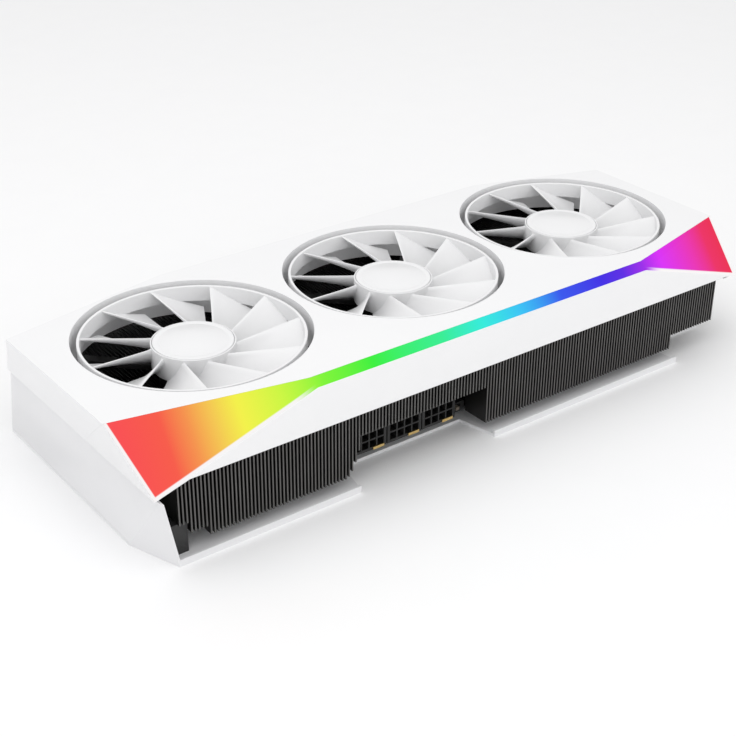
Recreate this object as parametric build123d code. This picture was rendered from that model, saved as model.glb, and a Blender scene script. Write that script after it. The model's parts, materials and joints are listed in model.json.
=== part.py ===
from build123d import *
from math import cos, sin, sqrt, radians
import os

# Triple-fan graphics card, lying on its backplate with the fans up.
# Millimetres. The origin is on the backplate's outer face, under the middle fan's axis.
# +X runs to the I/O bracket, +Y to the slot connector, +Z up through the fans.

# ---- overall ---------------------------------------------------------------
thickness = 62.0            # backplate outer face to shroud top face
top_length = 342.0          # shroud top face, tail edge to bracket edge
tail_reach = 174.0          # middle fan axis to the tail edge of the top face
front_reach = 65.0          # middle fan axis to the power-side wall
far_reach = 66.5            # middle fan axis to the slot-side wall

# ---- shroud ----------------------------------------------------------------
wall = 2.0
front_bevel_in = 3.2        # bevel between top face and front wall, across and down
front_bevel_down = 4.4
far_bevel_in = 8.5
far_bevel_down = 9.0
tail_shoulder = 83.4        # length of the tail facet along the top edge
bracket_shoulder = 69.0
tail_front_taper = 16.8     # how far the front edge draws in at each end
bracket_front_taper = 17.5
tail_far_taper = 17.8
bracket_far_taper = 22.0
tail_undercut = 9.0         # the tail band leans in by this much at its lower edge
tail_band_height = 28.8
bracket_band_height = 25.8
skirt_height = 24.2         # top face to the lower edge of the long walls
skirt_dip = 16.0            # length over which the skirt drops to the tail corner

# ---- fans ------------------------------------------------------------------
fan_pitch = 107.6
fan_phases = (-1.5, 0.0, -18.0)     # rotor angles at rest, degrees
opening_radius = 51.5
collar_wall = 1.6
collar_depth = 16.5         # top face to the lower rim of the fan collar
tip_gap = 2.8               # fan ring to opening
ring_wall = 1.3
ring_height = 7.5
ring_drop = 1.2             # fan ring below the top face
blade_count = 11
blade_thickness = 1.3
blade_drop = 10.4           # leading edge to trailing edge, along the axis
blade_span_root = 23.0      # angle from leading to trailing edge, degrees
blade_span_tip = 19.0
blade_sweep = 19.0          # the leading edge runs forward by this angle to the tip
blade_camber = 1.3
blade_spans = 3             # facets along a blade
hub_radius = 18.3
hub_drop = 3.8              # hub cap below the top face
hub_height = 11.6
hub_wall = 1.6
cap_thickness = 1.3
cap_margin = 0.9            # hub rim left around the cap
shaft_radius = 1.5
running_clearance = 0.05
seat_clearance = 0.02
bearing_wall = 2.3
frame_thickness = 2.4
frame_plate_radius = 17.0
frame_arms = 4
frame_arm_width = 5.0
bearing_pocket = 1.4        # depth of the motor plate's pocket for shaft and bearing
stator_radius = 15.2
stator_poles = 6

# ---- light bar -------------------------------------------------------------
light_border = 0.3          # shroud left between the diffuser and its facet edges
light_flange = 2.0
light_flange_thickness = 1.2
led_pitch = 8.0
led_size = 2.5
led_height = 0.8
strip_thickness = 1.0
strip_height = 6.5
strip_ribs = 6

# ---- heatsink --------------------------------------------------------------
fin_pitch = 1.75
fin_thickness = 0.45
fin_front = 61.8            # middle fan axis to the fins' front edges
fin_far = 62.0
fin_top_gap = 1.0           # fan frames to fins
fin_low = 6.4               # lowest fin edges above the backplate's outer face
fin_recess = 25.0           # fin edges over the power connectors
fin_bracket_low = 13.6      # fin edges beside the bracket
tail_fins_start = -153.5
recess_start = -62.0
recess_end = 7.0
low_fins_end = 127.5
fins_end = 158.5
recess_corner_fins = 5
tail_step_fins = (3, 8)     # the outermost tail fins stop higher, in two steps
tail_step_rise = (9.5, 4.4)
support_length = 8.0        # foot under the outermost fins
support_width = 8.0
support_tail = -157.0
pipe_count = 5
pipe_radius = 3.0
pipe_pitch = 11.0
pipe_notch_side = 3.0       # fin notch beside the outer pipes
pipe_inset = 4.0            # pipe ends inside the outer fins
cold_plate_size = 62.0
cold_plate_thickness = 4.0

# ---- circuit board ---------------------------------------------------------
board_low = 6.0
board_thickness = 1.6
board_tail = -72.0
board_end = 166.0
board_front = -46.0
board_far = 80.0
board_step = 20.0           # tailward of this the board stops under the backplate edge
board_far_short = 66.0
finger_start = 39.0
finger_end = 123.0
finger_length = 8.0
finger_key = 11.65
contact_skin = 0.05
gpu_x = 45.0
gpu_y = 12.0
mount_half = 37.0           # spring screws, either side of the processor
package_size = 42.0
package_height = 1.8
die_length = 24.0
die_width = 18.0
die_height = 0.8
interface_gap = 0.1         # thermal paste between die and cold plate
memory_length = 14.0
memory_width = 12.0
memory_height = 1.2
memory_offset = 33.0
pad_height = 1.5
plate_height = 1.6
post_radius = 3.2
connector_count = 3
connector_pitch = 19.6
connector_first_x = -52.2
connector_width = 19.0
connector_depth = 14.0
connector_height = 10.4
connector_front = -51.0
pin_pitch = 4.2
pin_size = 1.1
cavity_size = 3.5

# ---- bracket and ports -----------------------------------------------------
bracket_x = 169.0           # inner face
bracket_thickness = 0.9
bracket_low = 2.0
slot_spacing = 20.32
slot_width = 18.42
bracket_top_y = -24.0
bracket_bottom_y = 96.0
lip_length = 11.4
lip_hole_radius = 2.2
foot_half = 4.0             # bracket feet that lie on the board
foot_length = 9.0
port_first_y = -4.0
port_pitch = 20.0
port_wall = 0.4
port_depth = 18.0
port_gap = 0.3              # between a port and the bracket's cut-out

# ---- backplate -------------------------------------------------------------
plate_wall = 1.5
plate_front = 66.0
plate_far = 69.0
plate_tail = 165.5
plate_corner_x = 8.9        # corner facet at the tail, along X and along Y
plate_corner_y = 25.3
end_wall_height = 31.5
end_wall_lean = 3.0
front_lip = 3.2
plate_recess_tail = -67.5
plate_recess_end = 8.0
plate_recess_slant = 4.2
plate_ledge_past = 1.2      # front ledge past the last low fin
standoff_size = 5.5
screw_radius = 1.25
screw_head_size = 4.6
screw_head_height = 2.2
screw_hole_gap = 0.15
screw_access_radius = 3.4   # holes in the backplate over the spring screws

# ---- places worked out from the sizes above --------------------------------
x_tail = -tail_reach
x_bracket = top_length - tail_reach
z_top = thickness
y_front = -front_reach
y_front_top = y_front + front_bevel_in
y_far = far_reach
y_far_top = y_far - far_bevel_in
z_tail_low = z_top - tail_band_height
z_bracket_low = z_top - bracket_band_height
z_skirt = z_top - skirt_height
x_tail_low = x_tail + tail_undercut
fan_centres = [-fan_pitch, 0.0, fan_pitch]
ring_radius = opening_radius - tip_gap
z_ring = z_top - ring_drop
z_hub = z_top - hub_drop
z_hub_low = z_hub - hub_height
z_collar = z_top - collar_depth
z_frame = z_collar - frame_thickness
z_fins = z_frame - fin_top_gap
z_bearing = z_collar - bearing_pocket
z_board = board_low + board_thickness
z_die = z_board + package_height + die_height
z_cold = z_die + interface_gap
z_pipes = z_cold + cold_plate_thickness
z_fin_seat = z_pipes + 2 * pipe_radius
z_memory = z_board + memory_height
z_plate = z_memory + pad_height
strip_start = x_tail + tail_shoulder
strip_end = x_bracket - bracket_shoulder
y_strip = y_front + wall + light_flange_thickness + 2.4
z_strip = z_top - 12.0
far_size = 900.0            # larger than the whole card, for cutting tools


def block(x0, x1, y0, y1, z0, z1):
    """A box between two corners."""
    centre = Pos((x0 + x1) / 2, (y0 + y1) / 2, (z0 + z1) / 2)
    return centre * Box(x1 - x0, y1 - y0, z1 - z0)


def disc(x, y, z0, z1, radius):
    """An upright cylinder."""
    return Pos(x, y, (z0 + z1) / 2) * Cylinder(radius, z1 - z0)


def ring(x, y, z0, z1, outer, inner):
    """An upright tube."""
    return disc(x, y, z0, z1, outer) - disc(x, y, z0 - 1, z1 + 1, inner)


def slab(points, z0, z1):
    """An upright prism on an outline in X and Y."""
    outline = make_face(Polyline(*points, close=True))
    return Pos(0, 0, z0) * extrude(outline, z1 - z0)


def facet(a, b, c, inside=(0, 0, 20)):
    """The plane through three points, facing away from the inside."""
    a, b, c = Vector(a), Vector(b), Vector(c)
    normal = (b - a).cross(c - a).normalized()
    if normal.dot(Vector(inside) - a) > 0:
        normal = normal * -1
    return a, normal


def trim(shape, face, inset):
    """Cuts off what lies outside a facet moved inwards by the inset."""
    point, normal = face
    tool = Plane(origin=point - normal * inset, z_dir=normal) * Pos(0, 0, far_size / 2)
    return shape - tool * Box(far_size, far_size, far_size)


def save(name, *solids):
    """Writes one node."""
    shapes = []
    for item in solids:
        shapes.extend(item.solids())
    node = shapes[0] if len(shapes) == 1 else Compound(children=shapes)
    export_step(node, f"parts/{name}.step")


# ---- shroud form -----------------------------------------------------------
tail_front = (x_tail, y_front_top + tail_front_taper, z_top)
tail_front_low = (x_tail_low, y_front, z_tail_low)
tail_front_shoulder = (x_tail + tail_shoulder, y_front_top, z_top)
bracket_front = (x_bracket, y_front_top + bracket_front_taper, z_top)
bracket_front_low = (x_bracket, y_front, z_bracket_low)
bracket_front_shoulder = (x_bracket - bracket_shoulder, y_front_top, z_top)
tail_far = (x_tail, y_far_top - tail_far_taper, z_top)
tail_far_low = (x_tail_low, y_far, z_tail_low)
tail_far_shoulder = (x_tail + tail_shoulder, y_far_top, z_top)
bracket_far = (x_bracket, y_far_top - bracket_far_taper, z_top)
bracket_far_low = (x_bracket, y_far, z_bracket_low)
bracket_far_shoulder = (x_bracket - bracket_shoulder, y_far_top, z_top)

front_bevel = facet((0, y_front_top, z_top), (9, y_front_top, z_top),
                    (0, y_front, z_top - front_bevel_down))
far_bevel = facet((0, y_far_top, z_top), (9, y_far_top, z_top),
                  (0, y_far, z_top - far_bevel_down))
tail_front_facet = facet(tail_front, tail_front_shoulder, tail_front_low)
bracket_front_facet = facet(bracket_front, bracket_front_shoulder, bracket_front_low)
tail_far_facet = facet(tail_far, tail_far_shoulder, tail_far_low)
bracket_far_facet = facet(bracket_far, bracket_far_shoulder, bracket_far_low)
tail_band = facet(tail_front, tail_far, tail_front_low)
shroud_facets = [front_bevel, far_bevel, tail_front_facet, bracket_front_facet,
                 tail_far_facet, bracket_far_facet, tail_band]


def shroud_form(inset, low):
    """The shroud's faceted outer form, moved inwards by the inset, open downwards."""
    form = block(x_tail - 5, x_bracket - inset, y_front + inset, y_far - inset,
                 low, z_top - inset)
    for face in shroud_facets:
        form = trim(form, face, inset)
    return form


def light_window(border):
    """A prism through the light facets, square to the front bevel."""
    view = Plane(origin=(0, 0, 0), x_dir=(1, 0, 0), z_dir=front_bevel[1])
    bevel_low = z_top - front_bevel_down
    corners = [tail_front, tail_front_shoulder, bracket_front_shoulder, bracket_front,
               bracket_front_low]
    for point, normal in (bracket_front_facet, tail_front_facet):
        rest = normal.Y * (y_front - point.Y) + normal.Z * (bevel_low - point.Z)
        corners.append((point.X - rest / normal.X, y_front, bevel_low))
    corners.append(tail_front_low)
    flat = [view.to_local_coords(Vector(c)) for c in corners]
    outline = make_face(Polyline(*[(p.X, p.Y) for p in flat], close=True))
    outline = offset(outline, -border, kind=Kind.INTERSECTION)
    return view * Pos(0, 0, -150) * extrude(outline, 300)


def make_shroud():
    body = shroud_form(0, z_tail_low) - shroud_form(wall, z_tail_low - 5)
    skirt_end = x_tail_low + skirt_dip
    for y_side in (y_front, y_far):
        profile = [(skirt_end - 30, z_tail_low - 10), (x_tail_low, z_tail_low),
                   (skirt_end, z_skirt), (x_bracket - 8, z_skirt),
                   (x_bracket, z_bracket_low), (x_bracket + 5, z_tail_low - 10)]
        side = make_face(Polyline(*profile, close=True))
        body -= Plane.XZ.offset(-y_side) * extrude(side, 9, both=True)
    body -= block(x_bracket - wall - 1, x_bracket + 5, y_front + 9, y_far - 9,
                  z_tail_low - 5, z_bracket_low + 5)
    body -= light_window(light_border - seat_clearance)
    for x in fan_centres:
        body += disc(x, 0, z_collar, z_top - wall, opening_radius + collar_wall)
    for x in fan_centres:
        body -= disc(x, 0, z_collar - 1, z_top + 1, opening_radius)
    for i in range(strip_ribs):
        x = strip_start + (i + 0.5) * (strip_end - strip_start) / strip_ribs
        body += block(x - 1, x + 1, y_front + wall / 2, y_strip + strip_thickness,
                      z_strip - 2, z_strip)
    return body


def make_light_bar():
    skin = shroud_form(0, z_tail_low) - shroud_form(wall + seat_clearance, z_tail_low - 5)
    lens = skin & light_window(light_border)
    low = z_tail_low + 2 * light_flange
    back = shroud_form(wall, low) - shroud_form(wall + light_flange_thickness, low - 5)
    back = back & light_window(light_border - light_flange)
    for x in fan_centres:
        back -= disc(x, 0, z_collar, z_top, opening_radius + collar_wall + seat_clearance)
    return lens + back


def make_led_strip():
    """The strip stands on the shroud's ribs; its light chips face the diffuser."""
    strip = block(strip_start, strip_end, y_strip, y_strip + strip_thickness,
                  z_strip, z_strip + strip_height)
    chips = int((strip_end - strip_start) / led_pitch)
    for i in range(chips):
        x = strip_start + (i + 0.5) * led_pitch
        middle = z_strip + strip_height / 2
        strip += block(x - led_size / 2, x + led_size / 2, y_strip - led_height, y_strip,
                       middle - led_size / 2, middle + led_size / 2)
    return strip


# ---- fans, made at the origin's axis and moved to each centre --------------
def blade_section(radius, share):
    """Corners of a cambered blade section, square to the radius. share: 0 root, 1 tip."""
    lead = blade_sweep * share
    span = blade_span_root + (blade_span_tip - blade_span_root) * share
    half_width = radius * sin(radians(span) / 2)
    reach = sqrt(radius ** 2 - half_width ** 2)
    z_lead = z_hub - cap_thickness - 0.4 + (z_ring - z_hub + cap_thickness) * share
    middle = radians(lead - span / 2)
    place = Plane(origin=(reach * cos(middle), reach * sin(middle), z_lead - blade_drop / 2),
                  x_dir=(-sin(middle), cos(middle), 0), z_dir=(cos(middle), sin(middle), 0))
    nose = Vector(half_width, blade_drop / 2)
    tail = Vector(-half_width, -blade_drop / 2)
    across = Vector(-(nose - tail).Y, (nose - tail).X).normalized()
    crown = (nose + tail) * 0.5 - across * blade_camber
    half = across * (blade_thickness / 2)
    corners = [nose + half * 0.6, crown + half, tail + half * 0.5,
               tail - half * 0.5, crown - half, nose - half * 0.6]
    return [place.from_local_coords(corner) for corner in corners]


def make_blade():
    """A twisted blade, faceted between a few sections."""
    root, tip = hub_radius - 0.3, ring_radius - 0.3
    shares = [i / blade_spans for i in range(blade_spans + 1)]
    sections = [blade_section(root + (tip - root) * share, share) for share in shares]
    faces = []
    for near, far in zip(sections, sections[1:]):
        for i, corner in enumerate(near):
            after = (i + 1) % len(near)
            faces.append(Face(Wire.make_polygon([corner, near[after], far[after]])))
            faces.append(Face(Wire.make_polygon([corner, far[after], far[i]])))
    for end in (sections[0], sections[-1]):
        faces.append(Face(Wire.make_polygon(end)))
    return Solid(Shell(faces))


def make_rotor():
    """Hub cup, blades and rim ring in one moulding."""
    top = z_hub - cap_thickness
    hub = disc(0, 0, z_hub_low, top, hub_radius)
    hub -= disc(0, 0, z_hub_low - 1, top - hub_wall, hub_radius - hub_wall)
    hub -= disc(0, 0, z_hub_low, top - hub_wall / 2, shaft_radius + seat_clearance)
    blade = make_blade()
    rim = ring(0, 0, z_ring - ring_height, z_ring, ring_radius, ring_radius - ring_wall)
    blades = [Rot(0, 0, i * 360 / blade_count) * blade for i in range(blade_count)]
    return hub.fuse(rim, *blades)


def make_cap():
    return disc(0, 0, z_hub - cap_thickness, z_hub, hub_radius - cap_margin)


def make_shaft():
    high = z_hub - cap_thickness - hub_wall / 2
    return disc(0, 0, z_bearing, high, shaft_radius)


def make_bearing():
    outer = shaft_radius + bearing_wall
    high = z_hub - cap_thickness - hub_wall - 1.5
    return ring(0, 0, z_bearing, high, outer, shaft_radius + running_clearance)


def make_frame():
    """Motor plate with arms that reach under the shroud's collar."""
    plate = Pos(0, 0, z_frame) * extrude(RegularPolygon(frame_plate_radius, 8), frame_thickness)
    reach = opening_radius + collar_wall / 2
    for i in range(frame_arms):
        arm = block(frame_plate_radius - 4, reach, -frame_arm_width / 2, frame_arm_width / 2,
                    z_frame, z_collar)
        plate += Rot(0, 0, 45 + i * 360 / frame_arms) * arm
    pocket = shaft_radius + bearing_wall + seat_clearance
    return plate - disc(0, 0, z_bearing, z_collar + 1, pocket)


def make_stator():
    """Laminated core: straight poles round the bearing."""
    inner = shaft_radius + bearing_wall + seat_clearance
    low = z_collar
    high = z_hub - cap_thickness - hub_wall - 2.0
    core = Pos(0, 0, low) * extrude(RegularPolygon(inner + 2.5, stator_poles), high - low)
    for i in range(stator_poles):
        pole = block(inner + 1, stator_radius - 1.5, -1.6, 1.6, low, high)
        shoe = block(stator_radius - 2.5, stator_radius - 0.6, -5, 5, low, high)
        core += Rot(0, 0, i * 360 / stator_poles) * (pole + shoe)
    return core - disc(0, 0, low - 1, high + 1, inner)


# ---- heatsink --------------------------------------------------------------
def facet_y(face, x, z, inset):
    """Y of a facet at a place, moved inwards by the inset."""
    point, normal = face
    rest = normal.X * (x - point.X) + normal.Z * (z - point.Z) + inset
    return point.Y - rest / normal.Y


def front_limit(x, z, inset):
    faces = (tail_front_facet, bracket_front_facet)
    return max([-fin_front] + [facet_y(face, x, z, inset) for face in faces])


def far_limit(x, z, inset):
    faces = (tail_far_facet, bracket_far_facet)
    return min([fin_far] + [facet_y(face, x, z, inset) for face in faces])


def fin(x, inner_low, front_low, curtain):
    """One fin. It hangs to front_low over the curtain width, to inner_low behind it."""
    guard = wall + light_flange_thickness + 0.4
    y0 = -fin_front
    y_corner = max(front_limit(x + e, z_fins, guard) for e in (0, fin_thickness))
    y_far_corner = min(far_limit(x + e, z_fins, guard) for e in (0, fin_thickness))
    slope = abs(tail_front_facet[1].Z / tail_front_facet[1].Y)
    far_slope = abs(tail_far_facet[1].Z / tail_far_facet[1].Y)
    pipes_half = (pipe_count - 1) / 2 * pipe_pitch + pipe_radius + pipe_notch_side
    points = [(y0, front_low)]
    if inner_low != front_low:
        points += [(y0 + curtain, front_low), (y0 + curtain, inner_low)]
    elif front_low < z_fin_seat:
        points += [(gpu_y - pipes_half, front_low), (gpu_y - pipes_half, z_fin_seat),
                   (gpu_y + pipes_half, z_fin_seat), (gpu_y + pipes_half, front_low)]
    points.append((fin_far, inner_low))
    if fin_far - y_far_corner > 0.1:
        points.append((fin_far, z_fins - (fin_far - y_far_corner) / far_slope))
    points += [(y_far_corner, z_fins), (y_corner, z_fins)]
    if y_corner - y0 > 0.1:
        points.append((y0, z_fins - (y_corner - y0) / slope))
    return Plane.YZ.offset(x) * extrude(make_face(Polyline(*points, close=True)), fin_thickness)


def make_fins():
    """The three stacks: over the tail, over the power connectors, at the bracket."""
    tail, middle, bracket = [], [], []
    curtain = board_front - 1.5 + fin_front
    tail_count = int((recess_start - tail_fins_start) / fin_pitch)
    for i in range(tail_count):
        x = tail_fins_start + i * fin_pitch
        left = tail_count - 1 - i
        low = fin_low
        if left < recess_corner_fins:
            low += (fin_recess - fin_low) * (1 - left / recess_corner_fins) ** 2
        low += next((rise for last, rise in zip(tail_step_fins, tail_step_rise) if i < last), 0)
        clear_of_board = x + fin_thickness < board_tail - 1
        tail.append(fin(x, low if clear_of_board else z_fin_seat, low, curtain))
    x_middle = tail_fins_start + tail_count * fin_pitch
    middle_count = int((recess_end - x_middle) / fin_pitch)
    for i in range(middle_count):
        middle.append(fin(x_middle + i * fin_pitch, z_fin_seat, fin_recess, curtain + 6))
    x_right = x_middle + middle_count * fin_pitch
    for i in range(int((fins_end - x_right) / fin_pitch)):
        x = x_right + i * fin_pitch
        low = fin_low if x < low_fins_end else fin_bracket_low
        bracket.append(fin(x, z_fin_seat, low, curtain))
    return tail, middle, bracket


def make_tail_support():
    """The foot that carries the outermost fins on the backplate."""
    y0 = plate_wall - fin_front
    return block(support_tail, support_tail + support_length, y0, y0 + support_width,
                 plate_wall, fin_low + tail_step_rise[0])


def make_pipes():
    x0 = tail_fins_start + pipe_inset
    x1 = fins_end - pipe_inset
    z = z_pipes + pipe_radius
    pipes = []
    for i in range(pipe_count):
        y = gpu_y + (i - (pipe_count - 1) / 2) * pipe_pitch
        pipes.append(Pos((x0 + x1) / 2, y, z) * Rot(0, 90, 0) * Cylinder(pipe_radius, x1 - x0))
    return pipes


def make_cold_plate():
    half = cold_plate_size / 2
    plate = block(gpu_x - half, gpu_x + half, gpu_y - half, gpu_y + half, z_cold, z_pipes)
    return chamfer(plate.edges().filter_by(Axis.Z), 3)


# ---- circuit board ---------------------------------------------------------
mount_points = [(gpu_x + sx * mount_half, gpu_y + sy * mount_half)
                for sx in (-1, 1) for sy in (-1, 1)]
standoff_points = [(x, y) for x in (board_tail + 8, board_end - 30)
                   for y in (board_front + 8, board_far_short - 8)]
foot_places = (bracket_top_y + 6, port_first_y + 3 * port_pitch + 17)


def make_board():
    points = [(board_tail, board_front), (board_end, board_front), (board_end, board_far),
              (finger_end, board_far), (finger_end, board_far + finger_length),
              (finger_end - finger_key, board_far + finger_length),
              (finger_end - finger_key, board_far + 1),
              (finger_end - finger_key - 1.9, board_far + 1),
              (finger_end - finger_key - 1.9, board_far + finger_length),
              (finger_start, board_far + finger_length), (finger_start, board_far),
              (finger_start - 4, board_far), (finger_start - 4, board_far + 6),
              (finger_start - 9, board_far + 6), (finger_start - 9, board_far),
              (board_step, board_far), (board_step - 8, board_far_short),
              (board_tail, board_far_short)]
    board = slab(points, board_low, z_board)
    for x, y in mount_points:
        board -= disc(x, y, 0, 20, screw_radius + screw_hole_gap)
    for y in foot_places:
        board -= disc(board_end - foot_length / 2, y, 0, 20, screw_radius + screw_hole_gap)
    return board


def make_contacts():
    """Gold on both faces of the tongue, in two groups beside the key."""
    contacts = []
    for x0, x1 in ((finger_start + 0.8, finger_end - finger_key - 2.7),
                   (finger_end - finger_key + 0.8, finger_end - 0.8)):
        for z in (board_low - contact_skin, z_board):
            contacts.append(block(x0, x1, board_far + 2, board_far + finger_length - 0.6,
                                  z, z + contact_skin))
    return contacts


def make_package():
    half = package_size / 2
    return block(gpu_x - half, gpu_x + half, gpu_y - half, gpu_y + half,
                 z_board, z_board + package_height)


def make_die():
    return block(gpu_x - die_length / 2, gpu_x + die_length / 2,
                 gpu_y - die_width / 2, gpu_y + die_width / 2,
                 z_board + package_height, z_die)


memory_spots = [(gpu_x + sx * memory_offset, gpu_y + y) for sx in (-1, 1) for y in (-17, 0, 17)]
memory_spots += [(gpu_x + x, gpu_y + memory_offset) for x in (-10, 10)]


def spot_blocks(spots, length, width, z0, z1):
    return [block(x - length / 2, x + length / 2, y - width / 2, y + width / 2, z0, z1)
            for x, y in spots]


choke_spots = [(x, y) for x in (-12, 102) for y in (-24, -8, 8, 24, 40)]
mosfet_spots = [(x + side, y) for x, side in ((-12, -12), (102, 12)) for y in (-24, -8, 8, 24, 40)]
capacitor_spots = [(x, board_front + 13) for x in range(22, 94, 9)]


def make_base_plate():
    """The cast plate over memory and power stages, open round the processor."""
    low = z_plate
    plate = block(board_tail + 2, board_end - 22, board_front + 17.5, board_far_short - 2,
                  low, low + plate_height)
    half = cold_plate_size / 2 + 1.5
    plate -= block(gpu_x - half, gpu_x + half, gpu_y - half, gpu_y + half, low - 1, low + 5)
    for x, y in choke_spots:
        plate -= block(x - 5, x + 5, y - 5, y + 5, low - 1, low + 5)
    for x, y in mount_points:
        plate += Pos(x, y, z_board) * extrude(RegularPolygon(post_radius, 6),
                                              low + plate_height - z_board)
        plate -= disc(x, y, z_board - 1, low + 0.6, screw_radius + seat_clearance)
    return plate


def make_chokes():
    return [chamfer(block(x - 4, x + 4, y - 4, y + 4, z_board, z_board + 5.6)
                    .edges().filter_by(Axis.Z), 0.8) for x, y in choke_spots]


def make_capacitors():
    return spot_blocks(capacitor_spots, 7.3, 4.3, z_board, z_board + 2.8)


def connector_x(index):
    return connector_first_x + index * connector_pitch


def make_power_connector(index):
    x = connector_x(index)
    half = connector_width / 2
    body = block(x - half, x + half, connector_front, connector_front + connector_depth,
                 z_board, z_board + connector_height)
    for col in range(4):
        for row in range(2):
            cx = x + (col - 1.5) * pin_pitch
            cz = z_board + connector_height / 2 + (row - 0.5) * pin_pitch
            body -= block(cx - cavity_size / 2, cx + cavity_size / 2, connector_front - 1,
                          connector_front + 11, cz - cavity_size / 2, cz + cavity_size / 2)
    latch = block(x - 3, x + 3, connector_front + 1, connector_front + 7,
                  z_board + connector_height, z_board + connector_height + 1.6)
    return body + latch


def make_power_pins():
    pins = []
    for index in range(connector_count):
        for col in range(4):
            for row in range(2):
                cx = connector_x(index) + (col - 1.5) * pin_pitch
                cz = z_board + connector_height / 2 + (row - 0.5) * pin_pitch
                pins.append(block(cx - pin_size / 2, cx + pin_size / 2, connector_front + 3,
                                  connector_front + 11, cz - pin_size / 2, cz + pin_size / 2))
    return pins


# ---- bracket and ports -----------------------------------------------------
def port_y(index):
    return port_first_y + index * port_pitch


port_shapes = [("displayport_1", 16.1, 4.8), ("displayport_2", 16.1, 4.8),
               ("displayport_3", 16.1, 4.8), ("hdmi_port", 14.0, 4.6)]
z_port = z_board + 0.1


def port_outline(width, height, grow):
    """A port's mouth: a rectangle with its lower corners cut."""
    half = width / 2 + grow
    cut = 1.6
    points = [(-half, height + grow), (half, height + grow), (half, cut - grow * 0.4),
              (half - cut, -grow), (-half + cut, -grow), (-half, cut - grow * 0.4)]
    return make_face(Polyline(*points, close=True))


def port_prism(index, width, height, grow, x0, x1):
    sketch = Plane(origin=(x0, port_y(index), z_port + port_wall), x_dir=(0, 1, 0),
                   z_dir=(1, 0, 0)) * port_outline(width, height, grow)
    return extrude(sketch, x1 - x0, dir=(1, 0, 0))


def make_port(index, width, height):
    front = bracket_x + bracket_thickness
    back = front - port_depth
    shell = port_prism(index, width, height, port_wall, back, front)
    shell -= port_prism(index, width, height, 0, back + 3, front + 1)
    y = port_y(index)
    shell += block(back + 3, front - 1.5, y - width / 2 + 2, y + width / 2 - 2,
                   z_port + port_wall + height * 0.62, z_port + port_wall + height * 0.62 + 0.9)
    return shell


def make_bracket():
    x0 = bracket_x
    x1 = bracket_x + bracket_thickness
    z1 = bracket_low + slot_width + slot_spacing
    plate = block(x0, x1, bracket_top_y, bracket_bottom_y - 12, bracket_low, z1)
    for slot in range(2):
        z = bracket_low + slot * slot_spacing
        tongue = [(bracket_bottom_y - 12, z + 2.2), (bracket_bottom_y - 12, z + slot_width - 2.2),
                  (bracket_bottom_y - 4, z + slot_width - 4.2), (bracket_bottom_y, z + slot_width - 6),
                  (bracket_bottom_y, z + 6), (bracket_bottom_y - 4, z + 4.2)]
        plate += Plane.YZ.offset(x0) * extrude(make_face(Polyline(*tongue, close=True)),
                                                bracket_thickness)
    plate -= block(x0 - 1, x1 + 1, bracket_bottom_y - 30, bracket_bottom_y + 1,
                   bracket_low + slot_width, bracket_low + slot_spacing)
    for index, (name, width, height) in enumerate(port_shapes):
        plate -= port_prism(index, width, height, port_wall + port_gap, x0 - 1, x1 + 1)
    vent_low = bracket_low + slot_spacing + 3
    for i in range(15):
        y = bracket_top_y + 10 + i * 5.6
        slot = [(y, vent_low), (y + 3, vent_low), (y + 3 + 4, vent_low + 12), (y + 4, vent_low + 12)]
        plate -= Plane.YZ.offset(x0 - 1) * extrude(make_face(Polyline(*slot, close=True)), 4)
    lip = block(x0, x1 + lip_length, bracket_top_y, bracket_top_y + bracket_thickness,
                bracket_low, z1)
    for slot in range(2):
        z = bracket_low + slot * slot_spacing + slot_width / 2
        hole = Pos(x1 + lip_length * 0.45, bracket_top_y, z) * Rot(90, 0, 0)
        lip -= hole * Cylinder(lip_hole_radius, 6)
    plate += lip
    for y in foot_places:
        plate += block(board_end - foot_length, x0, y - foot_half, y + foot_half,
                       z_board, z_board + bracket_thickness)
        plate -= disc(board_end - foot_length / 2, y, z_board - 1, z_board + 3,
                      screw_radius + screw_hole_gap)
    return plate


# ---- backplate -------------------------------------------------------------
def end_form(inset):
    """The closed tail end of the backplate, leaning out to its foot."""
    y0, y1 = -plate_front + inset, plate_far - inset
    form = block(-plate_tail - 5, -plate_tail + 40, y0, y1, 0, end_wall_height)
    foot = (-plate_tail, 0, 0)
    top = (-plate_tail + end_wall_lean, 0, end_wall_height)
    form = trim(form, facet(foot, (-plate_tail, 9, 0), top), inset)
    peak = (-plate_tail + end_wall_lean, -plate_front + 2.0, end_wall_height)
    corner = facet(peak, (-plate_tail, -plate_front + plate_corner_y, 0),
                   (-plate_tail + plate_corner_x, -plate_front, 0))
    return trim(form, corner, inset)


vent_start = -148.0
vent_pitch = 9.0
vent_count = 8
vent_width = 5.0
vent_front = -44.0
vent_far = 50.0


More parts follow.
